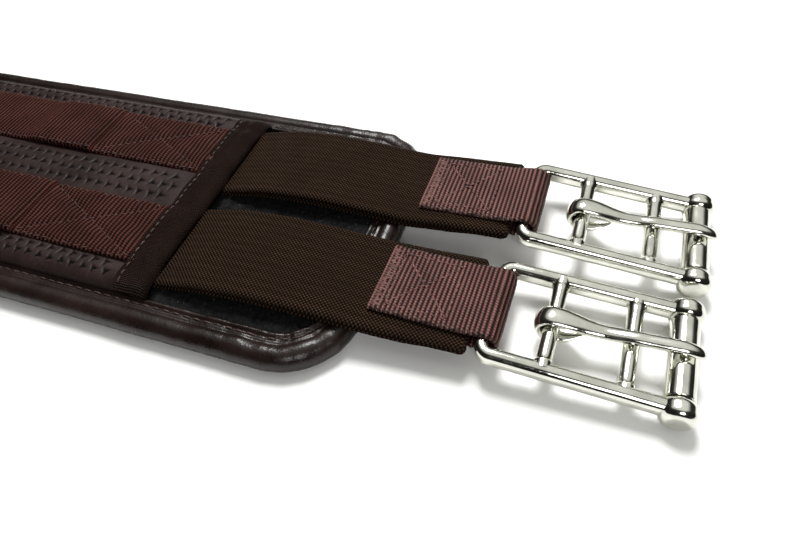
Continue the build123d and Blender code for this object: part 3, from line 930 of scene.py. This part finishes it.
def folded_line(row, start):
    """The elastic's own line: along the top ply to the fold and back along the lower one."""
    centre = smooth_line(strap_centre(row), 0.5)
    centre = centre[centre[:, 0] >= start]
    ahead = np.gradient(centre, axis=0)
    ahead /= np.linalg.norm(ahead, axis=1)[:, None]
    up = np.stack([-ahead[:, 1], ahead[:, 0]], 1)
    half = PLY_T / 2 + 0.05
    spread = half + 0.28 * np.exp(-(((centre[:, 0] - 38) / 16) ** 2))
    spread = spread + 0.25 * np.exp(-(((centre[:, 0] - BAR_RUN[row] + 6.0) / 2.5) ** 2))
    top, low = centre + up * half, centre - up * spread[:, None]
    angles = np.radians(np.linspace(80, -80, 12))
    turn = centre[-1] + half * 1.1 * (
        np.cos(angles)[:, None] * ahead[-1] + np.sin(angles)[:, None] * up[-1]
    )
    return np.concatenate([top[:-1], turn, low[:-1][::-1]])


def strap_relief(row, seed):
    length = BAR_RUN[row] + 2.0

    def relief(s, v, side):
        low_ply = smooth_step(s, length + 1, length + 6)
        free = smooth_step(np.abs(s - length), 2, 12) * (1 - smooth_step(np.abs(s - length), 70, 92))
        flare = 0.85 * smooth_step(np.abs(v), 12.9, 17.0) * free * low_ply
        selvedge = 0.10 * np.cos(np.abs(v) * 2 * pi / 2.2) * smooth_step(np.abs(v), 12.5, 13.5)
        waves = soft_noise(s, v, 14, seed) * 0.12 + soft_noise(s, v * 2, 5, seed + 1) * 0.05
        return (selvedge + waves) * side + flare

    return relief


def build_strap(row, end):
    name = name_key(end, row)
    line = folded_line(row, 1.2)
    strap = tape(
        f"elastic_strap_{name}", line, ELASTIC_HALF, PLY_T, 44, elastic_mat,
        strap_relief(row, hash_seed(end, row)), at_mouth(row, end),
    )
    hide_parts(f"elastic_strap_{name}")
    place = at_mouth(row, end)
    start, stop = place([(6, 0, 9.5), (BAR_RUN[row] - LOOP_BACK - 3, 0, CREST_Z)]) * MM
    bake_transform(strap)
    centre = smooth_line(strap_centre(row), 0.5)
    centre = centre[(centre[:, 0] > -45) & (centre[:, 0] < 1.4)]
    ahead = np.gradient(centre, axis=0)
    ahead /= np.linalg.norm(ahead, axis=1)[:, None]
    up = np.stack([-ahead[:, 1], ahead[:, 0]], 1)
    for k, (word, shift) in enumerate((("upper", 0.8), ("lower", -0.8))):
        tail = tape(
            f"elastic_tail_{word}_{name}", centre + up * shift, ELASTIC_HALF, PLY_T, 24, elastic_mat,
            None, at_mouth(row, end),
        )
        if k == 0:
            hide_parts(f"elastic_root_{name}")
        start, stop = place([(-3.0, 0, 8.55), (1.2, 0, 8.55)]) * MM
        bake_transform(tail)


# ---------------------------------------------------------------- webbing loops


def loop_line():
    leg = 1.65 + WEB_T / 2
    wide = 2.95 + WEB_T / 2
    upper = [(-LOOP_BACK, leg), (-28.0, leg), (-18.0, leg), (-TAPER, leg + 0.05)]
    upper += [(-4.5, leg + 0.62), (0.0, wide)]
    angles = np.radians([60, 30, 0])
    bend = [(wide * cos(a), wide * sin(a)) for a in angles]
    half = upper + bend
    points = half + [(x, -z) for x, z in half[-2::-1]]
    return smooth_line(points, 0.22)


BOX = (-30.2, -11.5, 9.8)  # the sewn box on the loop: from, to, half width


def loop_relief(line, seed):
    along = run_along(line)

    def relief(s, v, side):
        x = np.interp(s, along, line[:, 0])
        ribs = 0.17 * np.sin(s * 2 * pi / 1.4)
        box_u = x - (BOX[0] + BOX[1]) / 2
        half_u = (BOX[1] - BOX[0]) / 2
        box = cross_crease(box_u, v, half_u, BOX[2]) * 0.55
        frame_line = np.exp(-(((np.abs(box_u) - half_u) / 0.7) ** 2)) * (np.abs(v) < BOX[2])
        frame_line += np.exp(-(((np.abs(v) - BOX[2]) / 0.7) ** 2)) * (np.abs(box_u) < half_u)
        waves = soft_noise(s, v, 9, seed) * 0.12 + soft_noise(s, v, 3.5, seed + 1) * 0.05
        edges = -0.18 * smooth_step(np.abs(v), ROW_HALF - 1.6, ROW_HALF - 0.4)
        return (ribs + waves + box - 0.12 * frame_line + edges) * (side > 0)

    return relief


def build_loop(row, end):
    name = name_key(end, row)
    place = at_bar(row, end)
    line = loop_line()
    seed = hash_seed(end, row) + 50
    loop = tape(f"webbing_loop_{name}", line, ROW_HALF, WEB_T, 44, loop_cloth, loop_relief(line, seed), place)
    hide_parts(f"webbing_loop_{name}")
    body = f"loop_{name}"
    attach(loop, body)
    top = 1.65 + WEB_T
    flat_runs, edge_runs, whip = [], [], []
    x0, x1, w = BOX
    for side in (1, -1):
        up = (0.0, 0.0, float(side))
        z = side * (top - 0.02)
        corners = {"a": (x0, -w), "b": (x1, -w), "c": (x1, w), "d": (x0, w)}
        for k, (p, q) in enumerate(("ab", "bc", "cd", "da", "ac", "bd")):
            t = np.linspace(0, 1, 40)[:, None]
            flat = np.array(corners[p]) * (1 - t) + np.array(corners[q]) * t
            z_line = np.full(40, z - side * (0.12 if k > 3 else 0.02))
            seam = np.column_stack([flat, z_line])
            runs = stitch_runs(seam, np.tile(up, (40, 1)), 1.75, 0.55, 0.1, seed + k)
            flat_runs += runs
        rng = np.random.default_rng(seed + 9)
        for v in np.arange(-w - 1.4, w + 1.41, 0.5):
            a = -LOOP_BACK + rng.uniform(0.1, 0.9)
            b = a + rng.uniform(1.6, 3.6)
            lift = rng.uniform(-0.12, 0.16)
            whip.append(((a, v, z - side * 0.2), (b, v + rng.uniform(-0.9, 0.9), z + side * lift), up))
    along = run_along(line)
    for edge in (-1, 1):
        for s in np.arange(1.0, along[-1] - 1.0, 1.7):
            px, pz = np.interp(s, along, line[:, 0]), np.interp(s, along, line[:, 1])
            qx, qz = np.interp(s + 1.25, along, line[:, 0]), np.interp(s + 1.25, along, line[:, 1])
            nx, nz = -(qz - pz), (qx - px)
            size = max(hypot(nx, nz), 1e-9)
            nx, nz = nx / size, nz / size
            lift = WEB_T / 2 - 0.02
            start = (px + nx * lift, edge * (ROW_HALF - 1.0), pz + nz * lift)
            stop = (qx + nx * -0.15, edge * (ROW_HALF + 0.12), qz + nz * -0.15)
            edge_runs.append((start, stop, (nx, edge * 0.6, nz)))
    for word, runs, material, radius in (
        ("box", flat_runs, loop_thread, 0.36),
        ("whip", whip, loop_thread, 0.4),
        ("edge", edge_runs, edge_thread, 0.46),
    ):
        moved = []
        for a, b, up in runs:
            pair = place([a, b, np.array(a) + np.array(up)])
            moved.append((pair[0], pair[1], pair[2] - pair[0]))
        sewn = threads(f"loop_{word}_stitches_{name}", moved, material, radius)
        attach(sewn, body)


# ---------------------------------------------------------------- buckle tongues


def at_buckle(row, end):
    """From the buckle's own frame to the girth's."""
    outer = at_bar(row, end)
    rise = degrees(asin((5.8 - BAR_Z[row]) / 52.4))

    def place(points):
        return outer(turned(np.asarray(points, float), "y", -strap_slope(row) - rise))

    return place


BAR = (17.1, 0.3)  # the tongue bar's centre
EYE_R = 3.84
# along the tongue from its tip to its pointed return: x, z, half thickness, half width
TONGUE_ARM = (
    (56.9, 3.9, 0.35, 0.7), (56.4, 4.2, 0.8, 1.35), (54.6, 4.95, 1.25, 1.85), (51.5, 5.35, 1.5, 2.1),
    (48.0, 5.05, 1.5, 2.15), (43.5, 4.5, 1.5, 2.15), (38.8, 4.0, 1.5, 2.15), (34.0, 3.15, 1.5, 2.2),
    (30.0, 2.75, 1.5, 2.3), (26.5, 3.0, 1.5, 2.6), (23.2, 3.6, 1.45, 2.95), (20.2, 4.05, 1.43, 3.2),
)
TONGUE_RETURN = (
    (21.4, -2.6, 1.2, 3.1), (23.4, -1.8, 0.8, 2.2), (25.2, -1.1, 0.5, 1.2), (26.4, -0.6, 0.25, 0.4),
)


def build_tongue(row, end):
    """A forged tongue: an eye wrapped round its bar, a dipping arm and a pointed return."""
    wrap = []
    for angle in np.radians(np.arange(92, 306, 16)):
        wrap.append((BAR[0] + EYE_R * cos(angle), BAR[1] + EYE_R * sin(angle), 1.43, 3.3))
    line = smooth_line(TONGUE_ARM + tuple(wrap) + TONGUE_RETURN, 0.35)
    ahead = np.gradient(line[:, :2], axis=0)
    ahead /= np.linalg.norm(ahead, axis=1)[:, None]
    up = np.stack([-ahead[:, 1], ahead[:, 0]], 1)
    angles = np.linspace(0, 2 * pi, 28, endpoint=False)
    wide = np.sign(np.cos(angles)) * np.abs(np.cos(angles)) ** 0.92
    high = np.sin(angles)
    x = line[:, None, 0] + up[:, None, 0] * high * line[:, None, 2]
    z = line[:, None, 1] + up[:, None, 1] * high * line[:, None, 2]
    y = wide * line[:, None, 3]
    points = at_buckle(row, end)(np.stack([x, y, z], -1).reshape(-1, 3))
    name = name_key(end, row)
    tongue = piece(f"forged_tongue_{name}", points, wrap_faces(len(line), len(angles)), steel)
    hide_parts(f"tongue_{name}")
    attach(tongue, f"tongue_{name}")


# ---------------------------------------------------------------- putting it together


def across_middle(obj):
    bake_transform(obj)


for part in build_binding() + build_pad() + [build_cover(), build_cover_padding()]:
    across_middle(part)
for part, where in build_rows() + build_row_seams() + build_bands():
    if where == "middle":
        across_middle(part)
    else:
        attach(part, f"{where}_half")
for end_name in END_TURN:
    for row_name in ROW_SIDE:
        build_strap(row_name, end_name)
        build_loop(row_name, end_name)
        build_tongue(row_name, end_name)

for node_name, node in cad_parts.items():
    if node_name.startswith(("buckle_frame", "roller")):
        node.data.materials.clear()
        node.data.materials.append(steel)


# ---------------------------------------------------------------- floor, light and camera


def build_floor():
    mesh = bpy.data.meshes.new("floor")
    size = 4.0
    corners = [(-size, -size, 0), (size, -size, 0), (size, size, 0), (-size, size, 0)]
    mesh.from_pydata(corners, [], [(0, 1, 2, 3)])
    paint = Paint("pale_floor")
    clouds = paint.noise(paint.place(), 3, 2)
    paint.finish(
        paint.mix(clouds, (0.90, 0.90, 0.885), (0.93, 0.93, 0.92)),
        paint.span(clouds, 0, 1, 0.55, 0.6),
        Specular_IOR_Level=0.2,
    )
    mesh.materials.append(paint.material)
    floor = bpy.data.objects.new("floor", mesh)
    bpy.context.scene.collection.objects.link(floor)
    floor.location.z = -0.0002


def build_light(name, place, target, size, power):
    data = bpy.data.lights.new(name, "AREA")
    data.shape = "DISK"
    data.size = size
    data.energy = power
    lamp = bpy.data.objects.new(name, data)
    lamp.location = place
    lamp.rotation_euler = (Vector(target) - Vector(place)).to_track_quat("-Z", "Y").to_euler()
    bpy.context.scene.collection.objects.link(lamp)


def build_world():
    world = bpy.data.worlds.new("soft_room")
    world.use_nodes = True
    tree = world.node_tree
    place = tree.nodes.new("ShaderNodeTexCoord")
    facing = tree.nodes.new("ShaderNodeVectorMath")
    facing.operation = "DOT_PRODUCT"
    facing.inputs[1].default_value = (0.0, 0.4, 0.917)
    tree.links.new(place.outputs["Generated"], facing.inputs[0])
    ramp = tree.nodes.new("ShaderNodeValToRGB")
    tree.links.new(facing.outputs["Value"], ramp.inputs[0])
    stops = ramp.color_ramp
    stops.elements[0].position = 0.34
    stops.elements[0].color = (0.018, 0.018, 0.016, 1)
    stops.elements[1].position = 0.84
    stops.elements[1].color = (1.0, 1.0, 0.96, 1)
    middle = stops.elements.new(0.66)
    middle.color = (0.05, 0.05, 0.045, 1)
    rays = tree.nodes.new("ShaderNodeLightPath")
    mix = tree.nodes.new("ShaderNodeMix")
    mix.data_type = "RGBA"
    mix.inputs[7].default_value = (1.2, 1.2, 1.19, 1)
    tree.links.new(rays.outputs["Is Camera Ray"], mix.inputs[0])
    tree.links.new(ramp.outputs["Color"], mix.inputs[6])
    tree.links.new(mix.outputs[2], tree.nodes["Background"].inputs["Color"])
    tree.nodes["Background"].inputs["Strength"].default_value = 0.78
    bpy.context.scene.world = world


def build_camera():
    data = bpy.data.cameras.new("camera")
    data.sensor_width = 36.0
    data.lens = 27.0
    data.clip_start = 0.01
    camera = bpy.data.objects.new("camera", data)
    forward = Vector((-0.262, 0.5841, -0.7682)).normalized()
    right = Vector((0.9431, 0.3237, -0.0755)).normalized()
    up = right.cross(forward).normalized()
    right = forward.cross(up)
    turn = Matrix((right, up, -forward)).transposed()
    camera.matrix_world = Matrix.Translation(Vector((313.6, -119.7, 152.0)) * MM) @ turn.to_4x4()
    bpy.context.scene.collection.objects.link(camera)
    bpy.context.scene.camera = camera


build_floor()
build_light("back_light", (0.12, 0.42, 0.75), (0.22, 0.0, 0.0), 0.36, 9.5)
build_light("front_light", (0.5, -0.55, 0.5), (0.25, 0.0, 0.0), 0.3, 1.9)
build_world()
build_camera()
bpy.context.scene.view_settings.view_transform = "Standard"
